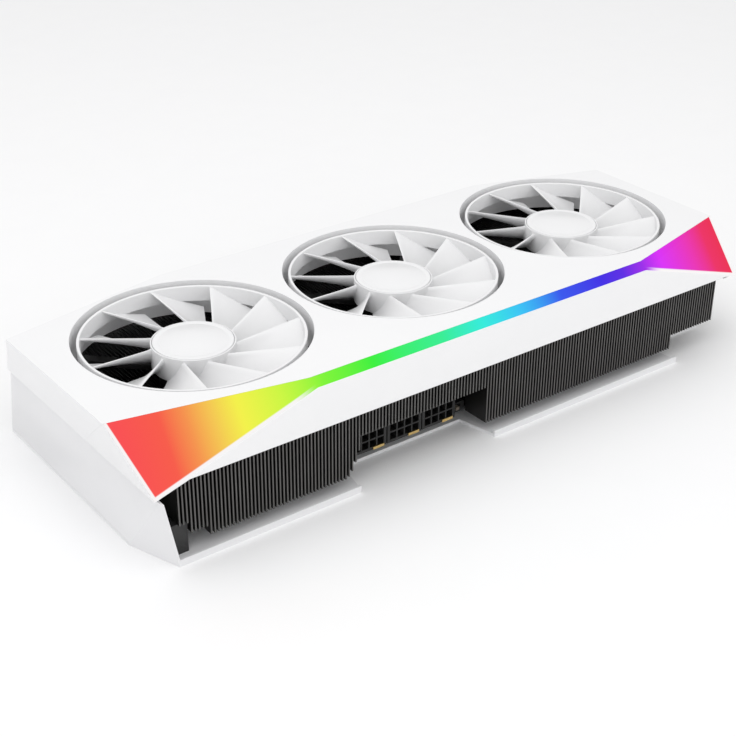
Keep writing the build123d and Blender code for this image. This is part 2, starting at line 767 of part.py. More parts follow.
def make_backplate():
    tail = -plate_tail
    front = -plate_front
    ledge_end = low_fins_end + plate_ledge_past
    points = [(tail, front + plate_corner_y), (tail + plate_corner_x, front),
              (plate_recess_tail, front), (plate_recess_tail + plate_recess_slant, board_front),
              (plate_recess_end - plate_recess_slant, board_front), (plate_recess_end, front),
              (ledge_end, front), (ledge_end - 2.4, board_front),
              (board_end, board_front), (board_end, plate_far), (tail, plate_far)]
    plate = slab(points, 0, plate_wall)
    for x0, x1 in ((tail + plate_corner_x, plate_recess_tail), (plate_recess_end, ledge_end)):
        plate += block(x0, x1, front, front + plate_wall, 0, front_lip)
    plate += block(tail + 2, board_step - 8, plate_far - plate_wall, plate_far, 0, front_lip)
    walls = end_form(0) - end_form(plate_wall)
    past = tail + plate_corner_x + 1
    lean = facet((tail + end_wall_lean + 1, 0, end_wall_height), (past, 0, 0), (past, 9, 0),
                 inside=(tail, 0, 0))
    plate += trim(walls, lean, 0)
    for i in range(vent_count):
        x = vent_start + i * vent_pitch
        plate -= slab([(x, vent_front), (x + vent_width, vent_front),
                       (x + vent_width, vent_far), (x, vent_far)], -1, 3)
    for x, y in standoff_points:
        plate += Pos(x, y, plate_wall) * extrude(RegularPolygon(standoff_size / 2, 6),
                                                 board_low - plate_wall)
    for x, y in mount_points:
        plate -= disc(x, y, -1, 3, screw_access_radius)
    return plate


def make_spring_screws():
    """Screws through the board's back into the cast plate, reached through the backplate."""
    screws = []
    for x, y in mount_points:
        low = board_low - screw_head_height
        head = Pos(x, y, low) * extrude(RegularPolygon(screw_head_size / 2, 6), screw_head_height)
        screws.append(head + disc(x, y, board_low - 0.1, z_plate, screw_radius))
    return screws


def make_bracket_screws():
    screws = []
    for y in foot_places:
        x = board_end - foot_length / 2
        low = z_board + bracket_thickness
        head = Pos(x, y, low) * extrude(RegularPolygon(screw_head_size / 2, 6), 1.4)
        screws.append(head + disc(x, y, board_low + 0.2, low + 0.1, screw_radius))
    return screws


# ---- BIOS switch -----------------------------------------------------------
switch_x = 1.5
switch_travel = 2.0
switch_low = z_board
switch_front = board_front - 0.5


def make_switch_case():
    case = block(switch_x - 4.3, switch_x + 4.3, switch_front, switch_front + 4.0,
                 switch_low, switch_low + 3.6)
    slot = block(switch_x - 2.1, switch_x + 2.1, switch_front - 1, switch_front + 2.4,
                 switch_low + 1.0, switch_low + 2.6)
    return case - slot


def make_switch_slider():
    x = switch_x - switch_travel / 2
    low = switch_low + 1.05
    return block(x - 1.0, x + 1.0, switch_front - 2.0, switch_front + 2.2, low, low + 1.5)


def main():
    os.makedirs("parts", exist_ok=True)
    save("shroud", make_shroud())
    save("light_bar", make_light_bar())
    save("led_strip", make_led_strip())
    rotor, cap, shaft = make_rotor(), make_cap(), make_shaft()
    bearing, frame, stator = make_bearing(), make_frame(), make_stator()
    for index, x in enumerate(fan_centres, start=1):
        save(f"fan_rotor_{index}", Pos(x, 0, 0) * Rot(0, 0, fan_phases[index - 1]) * rotor)
        save(f"fan_cap_{index}", Pos(x, 0, 0) * cap)
        save(f"fan_shaft_{index}", Pos(x, 0, 0) * shaft)
        save(f"fan_frame_{index}", Pos(x, 0, 0) * frame)
        save(f"fan_stator_{index}", Pos(x, 0, 0) * stator)
        save(f"fan_bearing_{index}", Pos(x, 0, 0) * bearing)
    tail, middle, bracket = make_fins()
    save("fins_tail", *tail)
    save("fins_middle", *middle)
    save("fins_bracket", *bracket)
    save("heat_pipes", *make_pipes())
    save("tail_support", make_tail_support())
    save("cold_plate", make_cold_plate())
    save("base_plate", make_base_plate())
    save("circuit_board", make_board())
    save("edge_contacts", *make_contacts())
    save("gpu_package", make_package())
    save("gpu_die", make_die())
    save("memory_chips", *spot_blocks(memory_spots, memory_length, memory_width,
                                      z_board, z_memory))
    save("memory_pads", *spot_blocks(memory_spots, memory_length - 1, memory_width - 1,
                                     z_memory, z_plate))
    save("power_stages", *spot_blocks(mosfet_spots, 6, 6, z_board, z_memory))
    save("power_stage_pads", *spot_blocks(mosfet_spots, 6, 6, z_memory, z_plate))
    save("chokes", *make_chokes())
    save("capacitors", *make_capacitors())
    for index in range(connector_count):
        save(f"power_connector_{index + 1}", make_power_connector(index))
    save("power_pins", *make_power_pins())
    for index, (name, width, height) in enumerate(port_shapes):
        save(name, make_port(index, width, height))
    save("io_bracket", make_bracket())
    save("bracket_screws", *make_bracket_screws())
    save("backplate", make_backplate())
    save("spring_screws", *make_spring_screws())
    save("bios_switch_case", make_switch_case())
    save("bios_switch_slider", make_switch_slider())


main()
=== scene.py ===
# %% [markdown]
# # A white graphics card with three fans and a lit edge
#
# The card lies on its backplate with the fans up. X runs along the card to its steel bracket,
# Y runs to the slot connector, and Z goes up through the fans. Everything is in metres.
#
# The engineering model arrives first and stays where it is. It fixes the box and the place of
# each piece. What follows gives each piece its finish, and swaps plain pieces for finer ones
# in the same spot.

# %% Load the engineering model
import json
from math import atan2, cos, exp, pi, radians, sin

import bmesh
import bpy
from mathutils import Matrix, Vector


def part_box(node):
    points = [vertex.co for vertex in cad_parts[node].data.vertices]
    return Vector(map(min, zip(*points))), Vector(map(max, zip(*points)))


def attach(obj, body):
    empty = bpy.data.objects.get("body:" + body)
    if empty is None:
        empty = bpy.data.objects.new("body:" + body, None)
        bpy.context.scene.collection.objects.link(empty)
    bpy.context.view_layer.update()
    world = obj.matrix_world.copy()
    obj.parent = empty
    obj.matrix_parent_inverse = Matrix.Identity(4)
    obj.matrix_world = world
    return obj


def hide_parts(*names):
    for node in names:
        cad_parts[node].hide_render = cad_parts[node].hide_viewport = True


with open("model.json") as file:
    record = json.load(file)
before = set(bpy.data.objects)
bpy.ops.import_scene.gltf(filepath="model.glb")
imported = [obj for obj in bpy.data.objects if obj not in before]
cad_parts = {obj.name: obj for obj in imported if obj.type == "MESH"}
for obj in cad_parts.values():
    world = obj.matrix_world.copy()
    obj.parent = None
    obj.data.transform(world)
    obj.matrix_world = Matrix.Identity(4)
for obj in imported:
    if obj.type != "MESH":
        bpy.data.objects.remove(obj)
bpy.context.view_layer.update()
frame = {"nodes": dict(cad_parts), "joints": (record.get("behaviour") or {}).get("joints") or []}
mm = 0.001

# %% [markdown]
# ## The camera
#
# A studio product picture looks down on the card from beyond its tail corner. The lens is
# fairly long, so the card's far end shrinks only a little. A direction and a roll say more
# than a matrix does, so the matrix is worked out from them.

# %% Camera
def aimed(azimuth, elevation, roll):
    """A turn that looks along azimuth (from +Y towards +X) and down by elevation."""
    flat = Vector((sin(azimuth), cos(azimuth), 0))
    forward = flat * cos(elevation) - Vector((0, 0, sin(elevation)))
    level = forward.cross(Vector((0, 0, 1))).normalized()
    up = level.cross(forward)
    right = level * cos(roll) + up * sin(roll)
    up = right.cross(forward)
    return Matrix((right, up, -forward)).transposed()


camera_data = bpy.data.cameras.new("studio_camera")
camera_data.lens = 69.16
camera_data.sensor_width = 36.0
camera_data.clip_start = 0.01
camera = bpy.data.objects.new("studio_camera", camera_data)
camera.rotation_mode = "QUATERNION"
camera.location = (-0.3700, -0.4687, 0.3358)
camera.rotation_quaternion = aimed(radians(37.19), radians(28.67), radians(0.344)).to_quaternion()
bpy.context.collection.objects.link(camera)
bpy.context.scene.camera = camera
print("camera at", tuple(round(v, 3) for v in camera.location))

# %% [markdown]
# ## Helpers for finishes
#
# A real surface is never one flat colour. Moulded plastic has a fine grain, plated steel has
# a direction, and anodised metal shifts a little from place to place. One function builds
# them all: two noise patterns on Object coordinates, one broad for colour and gloss, one fine
# for the bump. A stretch makes the fine one run along an axis, as brushing does.

# %% Finish helper
def node(tree, kind, **values):
    """A shader or geometry node with its plain properties set."""
    made = tree.nodes.new(kind)
    for key, value in values.items():
        setattr(made, key, value)
    return made


def surface(name, tone, shade, rough, metallic=0.0, broad=40.0, fine=1500.0, stretch=(1, 1, 1),
            bump=0.02, coat=0.0):
    """A finish whose colour drifts from tone to shade and whose gloss drifts with it."""
    material = bpy.data.materials.new(name)
    material.use_nodes = True
    tree = material.node_tree
    shader = tree.nodes["Principled BSDF"]
    shader.inputs["Metallic"].default_value = metallic
    shader.inputs["Coat Weight"].default_value = coat
    place = node(tree, "ShaderNodeTexCoord")
    run = node(tree, "ShaderNodeMapping")
    run.inputs["Scale"].default_value = stretch
    tree.links.new(place.outputs["Object"], run.inputs["Vector"])
    drift = node(tree, "ShaderNodeTexNoise")
    drift.inputs["Scale"].default_value = broad
    drift.inputs["Detail"].default_value = 3.0
    tree.links.new(run.outputs["Vector"], drift.inputs["Vector"])
    grain = node(tree, "ShaderNodeTexNoise")
    grain.inputs["Scale"].default_value = fine
    tree.links.new(run.outputs["Vector"], grain.inputs["Vector"])
    colour = node(tree, "ShaderNodeMix", data_type="RGBA")
    colour.inputs[6].default_value = (*tone, 1)
    colour.inputs[7].default_value = (*shade, 1)
    tree.links.new(drift.outputs["Fac"], colour.inputs["Factor"])
    tree.links.new(colour.outputs[2], shader.inputs["Base Color"])
    gloss = node(tree, "ShaderNodeMapRange")
    gloss.inputs["To Min"].default_value = rough[0]
    gloss.inputs["To Max"].default_value = rough[1]
    tree.links.new(drift.outputs["Fac"], gloss.inputs["Value"])
    tree.links.new(gloss.outputs["Result"], shader.inputs["Roughness"])
    relief = node(tree, "ShaderNodeBump")
    relief.inputs["Strength"].default_value = 1.0
    relief.inputs["Distance"].default_value = bump * mm
    tree.links.new(grain.outputs["Fac"], relief.inputs["Height"])
    tree.links.new(relief.outputs["Normal"], shader.inputs["Normal"])
    return material


# %% [markdown]
# ## The finishes
#
# The card's white shell is satin plastic with a spark-eroded grain. The fans are the same resin,
# polished a little more. The fins are aluminium with a dark coating. Their folded front edges
# take a lighter copy of the same metal, a painted highlight for the thin bright lines where they
# catch the light.

# %% Finishes
white_shell = surface("white_shell", (0.90, 0.90, 0.905), (0.87, 0.87, 0.88), (0.34, 0.44),
                      fine=2600, bump=0.006)
white_fan = surface("white_fan", (0.88, 0.88, 0.885), (0.84, 0.84, 0.85), (0.26, 0.36),
                    fine=1800, bump=0.004, coat=0.1)
plate_paint = surface("plate_paint", (0.84, 0.84, 0.85), (0.80, 0.80, 0.815), (0.36, 0.48),
                      fine=3200, bump=0.008)
fin_coat = surface("fin_coat", (0.030, 0.029, 0.028), (0.018, 0.018, 0.018), (0.30, 0.46),
                   metallic=0.7, stretch=(1, 1, 0.1), fine=2500, bump=0.01)
# The folds get a lighter copy of the fin metal: painted highlight for their bright lines.
fin_edge_painted_highlight = surface("fin_edge_painted_highlight", (0.15, 0.147, 0.143), (0.085, 0.083, 0.08), (0.32, 0.5),
                   metallic=0.5, broad=220, stretch=(1, 1, 0.3), bump=0.01)
copper = surface("copper", (0.75, 0.40, 0.26), (0.55, 0.25, 0.15), (0.22, 0.42),
                 metallic=1.0, broad=90, stretch=(0.1, 1, 1), fine=900, bump=0.004)
nickel = surface("nickel", (0.68, 0.67, 0.64), (0.56, 0.55, 0.53), (0.2, 0.36),
                 metallic=1.0, stretch=(1, 0.06, 1), fine=2400, bump=0.004)
gold = surface("gold", (0.88, 0.66, 0.28), (0.76, 0.52, 0.2), (0.18, 0.32),
               metallic=1.0, broad=160, bump=0.002)
# Black nylon, set darker than the plastic's own black: partly its real colour, partly painted
# shade for the power sockets in their shaded recess.
black_nylon_and_painted_shade = surface("black_nylon_and_painted_shade", (0.008, 0.008, 0.008), (0.014, 0.014, 0.014),
                      (0.4, 0.6), fine=2200, bump=0.012)
cast_black = surface("cast_black", (0.03, 0.03, 0.031), (0.05, 0.05, 0.05), (0.45, 0.65),
                     metallic=0.3, fine=1200, bump=0.03)
bronze = surface("bronze", (0.42, 0.28, 0.13), (0.3, 0.2, 0.1), (0.35, 0.55),
                 metallic=0.9, fine=3000, bump=0.015)
chip_resin = surface("chip_resin", (0.03, 0.03, 0.03), (0.045, 0.045, 0.047), (0.45, 0.6),
                     fine=3000, bump=0.01)
silicon = surface("silicon", (0.16, 0.17, 0.2), (0.1, 0.1, 0.13), (0.04, 0.1),
                  metallic=0.8, bump=0.0005)
pad_putty = surface("pad_putty", (0.34, 0.40, 0.46), (0.28, 0.34, 0.4), (0.7, 0.9),
                    fine=800, bump=0.05)
black_zinc = surface("black_zinc", (0.04, 0.04, 0.042), (0.07, 0.07, 0.07), (0.28, 0.4),
                     metallic=0.9, broad=300, bump=0.004)
ceramic = surface("ceramic", (0.13, 0.11, 0.09), (0.2, 0.17, 0.13), (0.35, 0.5),
                  fine=2400, bump=0.01)
print("finishes", len(bpy.data.materials))

# %% [markdown]
# The circuit board has a finish of its own: a glossy black mask over copper tracks. The
# tracks stand slightly proud and show a shade lighter. A brick pattern with wide bricks and
# thin joints gives runs of parallel lines, and a noise breaks them up.

# %% Circuit board mask
def track_mask():
    material = surface("track_mask", (0.012, 0.014, 0.016), (0.02, 0.022, 0.024), (0.2, 0.32),
                       fine=1600, bump=0.006, coat=0.4)
    tree = material.node_tree
    shader = tree.nodes["Principled BSDF"]
    place = node(tree, "ShaderNodeTexCoord")
    tracks = node(tree, "ShaderNodeTexBrick")
    tracks.inputs["Scale"].default_value = 260.0
    tracks.inputs["Mortar Size"].default_value = 0.06
    tracks.inputs["Brick Width"].default_value = 3.5
    tracks.inputs["Row Height"].default_value = 0.22
    tracks.inputs["Color1"].default_value = (0.016, 0.018, 0.020, 1)
    tracks.inputs["Color2"].default_value = (0.012, 0.014, 0.016, 1)
    tracks.inputs["Mortar"].default_value = (0.045, 0.05, 0.052, 1)
    tree.links.new(place.outputs["Object"], tracks.inputs["Vector"])
    tree.links.new(tracks.outputs["Color"], shader.inputs["Base Color"])
    return material


board_mask = track_mask()

# %% [markdown]
# ## The lit edge
#
# A strip of lamps behind a milky diffuser shows one rainbow from the tail to the bracket. The
# colour depends only on the place along X, so a colour ramp driven by the Object X coordinate
# paints it. The two corner triangles keep a white rim, where the diffuser is masked. That rim is
# drawn as emitted near-white light, painted light that stands in for the lit white of the mask.
# The distance from the triangle's two outer edges decides where that rim starts. Those edges are
# planes, and a dot product with each plane's normal gives the distance.

# %% Glow
shell_low, shell_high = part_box("shroud")
rainbow = [(-170, (252, 80, 84)), (-153, (250, 92, 74)), (-143, (248, 148, 78)),
           (-133, (247, 200, 82)), (-122, (246, 244, 74)), (-104, (206, 249, 66)),
           (-85, (128, 247, 56)), (-60, (60, 243, 62)), (-23, (56, 240, 150)),
           (0, (52, 238, 222)), (22, (58, 196, 248)), (46, (56, 88, 240)),
           (72, (66, 46, 232)), (86, (94, 42, 230)), (99, (156, 44, 236)),
           (114, (220, 44, 250)), (140, (236, 44, 180)), (155, (238, 40, 100)),
           (168, (236, 38, 76))]


def linear(value):
    """A display colour value as a light value."""
    value /= 255
    return value / 12.92 if value <= 0.04045 else ((value + 0.055) / 1.055) ** 2.4


def ramp_up(tree, value, low, high):
    """0 below low, 1 above high, smooth between; high may lie below low."""
    ramp = node(tree, "ShaderNodeMapRange", interpolation_type="SMOOTHSTEP")
    ramp.inputs["From Min"].default_value = low
    ramp.inputs["From Max"].default_value = high
    tree.links.new(value, ramp.inputs["Value"])
    return ramp.outputs["Result"]


def rim_mask(tree, place, x, point, normal, rim, soft, past):
    """0 within the rim of an edge, 1 further in and everywhere past the edge's end."""
    away = node(tree, "ShaderNodeVectorMath", operation="SUBTRACT")
    away.inputs[1].default_value = point
    tree.links.new(place.outputs["Object"], away.inputs[0])
    depth = node(tree, "ShaderNodeVectorMath", operation="DOT_PRODUCT")
    depth.inputs[1].default_value = normal
    tree.links.new(away.outputs["Vector"], depth.inputs[0])
    inner = ramp_up(tree, depth.outputs["Value"], rim - soft, rim + soft)
    beyond = ramp_up(tree, x, *past)
    either = node(tree, "ShaderNodeMath", operation="MAXIMUM")
    tree.links.new(inner, either.inputs[0])
    tree.links.new(beyond, either.inputs[1])
    return either.outputs["Value"]


def glow_lens():
    material = bpy.data.materials.new("glow_lens")
    material.use_nodes = True
    tree = material.node_tree
    shader = tree.nodes["Principled BSDF"]
    shader.inputs["Base Color"].default_value = (0.0, 0.0, 0.0, 1)
    shader.inputs["Roughness"].default_value = 0.35
    shader.inputs["Specular IOR Level"].default_value = 0.08
    shader.inputs["Emission Strength"].default_value = 0.97
    place = node(tree, "ShaderNodeTexCoord")
    parts = node(tree, "ShaderNodeSeparateXYZ")
    tree.links.new(place.outputs["Object"], parts.inputs["Vector"])
    along = node(tree, "ShaderNodeMapRange")
    start, end = rainbow[0][0], rainbow[-1][0]
    along.inputs["From Min"].default_value = start * mm
    along.inputs["From Max"].default_value = end * mm
    tree.links.new(parts.outputs["X"], along.inputs["Value"])
    ramp = node(tree, "ShaderNodeValToRGB")
    stops = ramp.color_ramp.elements
    while len(stops) < len(rainbow):
        stops.new(1.0)
    for stop, (x, colour) in zip(stops, rainbow):
        stop.position = (x - start) / (end - start)
        stop.color = (*[linear(value) for value in colour], 1)
    tree.links.new(along.outputs["Result"], ramp.inputs["Fac"])
    mask = None
    for rim in lens_rims:
        step = rim_mask(tree, place, parts.outputs["X"], *rim)
        if mask:
            both = node(tree, "ShaderNodeMath", operation="MULTIPLY")
            tree.links.new(mask, both.inputs[0])
            tree.links.new(step, both.inputs[1])
            mask = both.outputs["Value"]
        else:
            mask = step
    mix = node(tree, "ShaderNodeMix", data_type="RGBA")
    # The rim glows near-white: painted light in place of the lit white of the masked rim.
    mix.inputs[6].default_value = (0.97, 0.94, 0.94, 1)
    tree.links.new(mask, mix.inputs["Factor"])
    tree.links.new(ramp.outputs["Color"], mix.inputs[7])
    tree.links.new(mix.outputs[2], shader.inputs["Emission Color"])
    return material


# %% [markdown]
# ## Helpers for shapes
#
# Most pieces come in one of three ways. A welded copy of the engineering piece gets rounded
# edges from a Bevel modifier. A turned piece is a closed outline swept round an axis. A
# repeated piece is one small mesh that a Geometry Nodes tree copies.

# %% Shape helpers
def add(name, mesh):
    piece = bpy.data.objects.new(name, mesh)
    bpy.context.collection.objects.link(piece)
    return piece


def solid(name, points, faces):
    """A piece from points and faces, welded, with its faces turned outwards."""
    mesh = bpy.data.meshes.new(name)
    mesh.from_pydata([tuple(p) for p in points], [], faces)
    form = bmesh.new()
    form.from_mesh(mesh)
    bmesh.ops.remove_doubles(form, verts=form.verts, dist=1e-6)
    bmesh.ops.recalc_face_normals(form, faces=form.faces)
    form.to_mesh(mesh)
    form.free()
    return add(name, mesh)


def turned(name, outline, steps=128):
    """A closed outline of (radius, height) points swept round Z."""
    points = [(r * cos(2 * pi * k / steps), r * sin(2 * pi * k / steps), z)
              for k in range(steps) for r, z in outline]
    count = len(outline)
    faces = []
    for k in range(steps):
        for i in range(count):
            a, b = k * count + i, k * count + (i + 1) % count
            c, d = ((k + 1) % steps) * count + (i + 1) % count, ((k + 1) % steps) * count + i
            faces.append((a, b, c, d))
    return solid(name, points, faces)


def rounded(corner, before, after, radius, steps=4):
    """Points that round one corner of an outline."""
    corner, before, after = Vector(corner), Vector(before), Vector(after)
    start = corner + (before - corner).normalized() * radius
    end = corner + (after - corner).normalized() * radius
    return [tuple(start.lerp(corner, t).lerp(corner.lerp(end, t), t))
            for t in (i / steps for i in range(steps + 1))]


def outline_rounded(corners, radii):
    """A closed outline with each corner rounded by its own radius; 0 keeps it sharp."""
    points = []
    for i, (corner, radius) in enumerate(zip(corners, radii)):
        if radius:
            points += rounded(corner, corners[i - 1], corners[(i + 1) % len(corners)], radius)
        else:
            points.append(corner)
    return points


def welded_copy(source, name, flat=0.4):
    """A copy of an engineering piece with its triangles welded and flat faces joined."""
    mesh = bpy.data.meshes.new(name)
    form = bmesh.new()
    form.from_mesh(frame["nodes"][source].data)
    bmesh.ops.remove_doubles(form, verts=form.verts, dist=2e-6)
    bmesh.ops.dissolve_limit(form, angle_limit=radians(flat), verts=form.verts,
                             edges=form.edges)
    form.to_mesh(mesh)
    form.free()
    mesh.materials.clear()
    piece = add(name, mesh)
    return piece


def soften(piece, width, angle=28, segments=2):
    """Rounds the sharp edges."""
    edge = piece.modifiers.new("rounded_edges", "BEVEL")
    edge.width = width * mm
    edge.segments = segments
    edge.limit_method = "ANGLE"
    edge.angle_limit = radians(angle)
    edge.harden_normals = True
    return piece


def dress(piece, material, body, stands_for=(), smooth=32):
    """Finish, shading, body and hiding the parts it stands for, in one go."""
    if material:
        piece.data.materials.clear()
        piece.data.materials.append(material)
    piece.data.shade_smooth()
    piece.data.set_sharp_from_angle(angle=radians(smooth))
    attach(piece, body)
    if stands_for:
        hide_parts(*stands_for)
    print(piece.name, len(piece.data.polygons), "faces")
    return piece


# %% [markdown]
# ## Trees that repeat things
#
# Three small Geometry Nodes trees do all the repeating here. One sets copies in a ring, one
# in a row, and one on every point of a mesh. Each ends in Realize Instances and Set Material,
# so the result is a plain mesh. The inputs carry the sizes, so one tree serves many pieces.

# %% Repeating trees
def new_tree(name, sizes):
    tree = bpy.data.node_groups.new(name, "GeometryNodeTree")
    tree.interface.new_socket("Geometry", in_out="INPUT", socket_type="NodeSocketGeometry")
    for label, kind in sizes:
        tree.interface.new_socket(label, in_out="INPUT", socket_type=kind)
    tree.interface.new_socket("Geometry", in_out="OUTPUT", socket_type="NodeSocketGeometry")
    return tree, node(tree, "NodeGroupInput"), node(tree, "NodeGroupOutput")


def close_tree(tree, start, end, geometry):
    """Realize Instances, Set Material and the output."""
    real = node(tree, "GeometryNodeRealizeInstances")
    paint = node(tree, "GeometryNodeSetMaterial")
    tree.links.new(geometry, real.inputs["Geometry"])
    tree.links.new(real.outputs["Geometry"], paint.inputs["Geometry"])
    tree.links.new(start.outputs["Material"], paint.inputs["Material"])
    tree.links.new(paint.outputs["Geometry"], end.inputs["Geometry"])
    return tree


def ring_tree():
    """Copies turned evenly round Z."""
    tree, start, end = new_tree("ring_of_copies", [("Copies", "NodeSocketInt"),
                                                   ("Material", "NodeSocketMaterial")])
    points = node(tree, "GeometryNodePoints")
    place = node(tree, "GeometryNodeInstanceOnPoints")
    index = node(tree, "GeometryNodeInputIndex")
    share = node(tree, "ShaderNodeMath", operation="DIVIDE")
    angle = node(tree, "ShaderNodeMath", operation="MULTIPLY")
    angle.inputs[1].default_value = 2 * pi
    turn = node(tree, "ShaderNodeCombineXYZ")
    tree.links.new(start.outputs["Copies"], points.inputs["Count"])
    tree.links.new(points.outputs[0], place.inputs["Points"])
    tree.links.new(start.outputs["Geometry"], place.inputs["Instance"])
    tree.links.new(index.outputs["Index"], share.inputs[0])
    tree.links.new(start.outputs["Copies"], share.inputs[1])
    tree.links.new(share.outputs["Value"], angle.inputs[0])
    tree.links.new(angle.outputs["Value"], turn.inputs["Z"])
    tree.links.new(turn.outputs["Vector"], place.inputs["Rotation"])
    return close_tree(tree, start, end, place.outputs["Instances"])


def row_tree():
    """Copies stepped evenly along a line."""
    tree, start, end = new_tree("row_of_copies", [("Copies", "NodeSocketInt"),
                                                  ("Step", "NodeSocketVector"),
                                                  ("Material", "NodeSocketMaterial")])
    line = node(tree, "GeometryNodeMeshLine")
    place = node(tree, "GeometryNodeInstanceOnPoints")
    tree.links.new(start.outputs["Copies"], line.inputs["Count"])
    tree.links.new(start.outputs["Step"], line.inputs["Offset"])
    tree.links.new(line.outputs["Mesh"], place.inputs["Points"])
    tree.links.new(start.outputs["Geometry"], place.inputs["Instance"])
    return close_tree(tree, start, end, place.outputs["Instances"])


def edge_tree():
    """A flat bar along every edge of the mesh."""
    tree, start, end = new_tree("bars_on_edges", [("Width", "NodeSocketFloat"),
                                                  ("Depth", "NodeSocketFloat"),
                                                  ("Material", "NodeSocketMaterial")])
    path = node(tree, "GeometryNodeMeshToCurve")
    shape = node(tree, "GeometryNodeCurvePrimitiveQuadrilateral")
    sweep = node(tree, "GeometryNodeCurveToMesh")
    sweep.inputs["Fill Caps"].default_value = True
    tree.links.new(start.outputs["Geometry"], path.inputs["Mesh"])
    tree.links.new(start.outputs["Width"], shape.inputs["Width"])
    tree.links.new(start.outputs["Depth"], shape.inputs["Height"])
    tree.links.new(path.outputs["Curve"], sweep.inputs["Curve"])
    tree.links.new(shape.outputs["Curve"], sweep.inputs["Profile Curve"])
    return close_tree(tree, start, end, sweep.outputs["Mesh"])


def grown(piece, tree, **sizes):
    """Runs a tree on a piece and keeps the result as its plain mesh."""
    modifier = piece.modifiers.new(tree.name, "NODES")
    modifier.node_group = tree
    for item in tree.interface.items_tree:
        if item.in_out == "INPUT" and item.name in sizes:
            modifier[item.identifier] = sizes[item.name]
    piece.update_tag()
    bpy.context.view_layer.update()
    graph = bpy.context.evaluated_depsgraph_get()
    result = bpy.data.meshes.new_from_object(piece.evaluated_get(graph))
    piece.modifiers.remove(modifier)
    piece.data = result
    return piece


def joined(name, pieces, turn=Matrix.Identity(4)):
    """One piece from several, moved by a matrix. The sources stay."""
    form = bmesh.new()
    for piece in pieces:
        form.from_mesh(piece.data)
    bmesh.ops.transform(form, matrix=turn, verts=form.verts)
    mesh = bpy.data.meshes.new(name)
    form.to_mesh(mesh)
    form.free()
    return add(name, mesh)


def bar(low, high, rise=0.0):
    """The corners and faces of a box; the top may be drawn in by rise."""
    x0, y0, z0 = low
    x1, y1, z1 = high
    points = [(x0, y0, z0), (x1, y0, z0), (x1, y1, z0), (x0, y1, z0),
              (x0 + rise, y0 + rise, z1), (x1 - rise, y0 + rise, z1),
              (x1 - rise, y1 - rise, z1), (x0 + rise, y1 - rise, z1)]
    faces = [(3, 2, 1, 0), (4, 5, 6, 7), (0, 1, 5, 4), (1, 2, 6, 5), (2, 3, 7, 6), (3, 0, 4, 7)]
    return points, faces


ring_of_copies, row_of_copies, bars_on_edges = ring_tree(), row_tree(), edge_tree()

# %% [markdown]
# ## The shroud
#
# The shroud is one faceted moulding. Its facets are flat and its edges are crisp, but a
# mould never leaves a knife edge, so every edge gets a small radius. The welded copy has one
# face for each facet, which lets the Bevel modifier run cleanly along whole edges.

# %% Shroud
shroud = soften(welded_copy("shroud", "shroud_shell"), 0.4)
dress(shroud, white_shell, "card", ["shroud"])

# %% [markdown]
# ## The diffuser
#
# The diffuser fills the lit facets flush. The rims run along each triangle's end edge and
# its lower edge. Three corner points of a triangle lie in the engineering model's box, so
# the planes through its edges follow from them.

# %% Diffuser
front_top = shell_low.y + 3.2 * mm
tail_top = Vector((shell_low.x, front_top + 16.8 * mm, shell_high.z))
tail_foot = Vector((shell_low.x + 9.0 * mm, shell_low.y, shell_low.z))
tail_shoulder = Vector((shell_low.x + 83.4 * mm, front_top, shell_high.z))
bracket_top = Vector((shell_high.x, front_top + 17.5 * mm, shell_high.z))
bracket_foot = Vector((shell_high.x, shell_low.y, shell_high.z - 25.8 * mm))
bracket_shoulder = Vector((shell_high.x - 69.0 * mm, front_top, shell_high.z))


def inward(start, end, inside, out):
    """The unit direction square to an edge, in the plane of a facet, towards inside."""
    along = (end - start).normalized()
    side = along.cross(out).normalized()
    return side if side.dot(inside - start) > 0 else -side


lens_rims = []
for top, foot, shoulder in ((tail_top, tail_foot, tail_shoulder),
                            (bracket_top, bracket_foot, bracket_shoulder)):
    out = (foot - top).cross(shoulder - top).normalized()
    bevel_drop = Vector((0, shell_low.y - front_top, -4.4 * mm))
    rest = out.dot(top - shoulder - bevel_drop) / out.x
    lower_end = shoulder + bevel_drop + Vector((rest, 0, 0))
    fade = 12 * mm if shoulder.x > top.x else -12 * mm
    lens_rims.append((top, inward(top, foot, shoulder, out), 1.5 * mm, 0.25 * mm,
                      (shoulder.x - fade, shoulder.x)))
    lens_rims.append((foot, inward(foot, lower_end, top, out), 1.6 * mm, 0.35 * mm,
                      (lower_end.x - fade, lower_end.x)))

lens = soften(welded_copy("light_bar", "light_diffuser"), 0.15)
dress(lens, glow_lens(), "card", ["light_bar"])
lens.data.materials.append(white_shell)
front_facing = -0.25       # only faces that lean to the front at least this much are lit
for face in lens.data.polygons:
    if face.normal.y > front_facing:
        face.material_index = 1

# %% [markdown]
# ## The fans
#
# Each rotor is one moulding: a hub cup, eleven swept blades and a rim ring that ties the
# tips. The blade is the hard part. It is a wing section that turns flatter and longer towards
# the tip, so it is built from sections: each has a round nose, a belly and a thin tail, and
# lies on its own cylinder round the axis. The ring tree then makes the other ten.
#
# These blades are wider, from leading to trailing edge, than the engineering model's. The
# hub, the ring and the height they turn in are the same to within 0.2 mm.

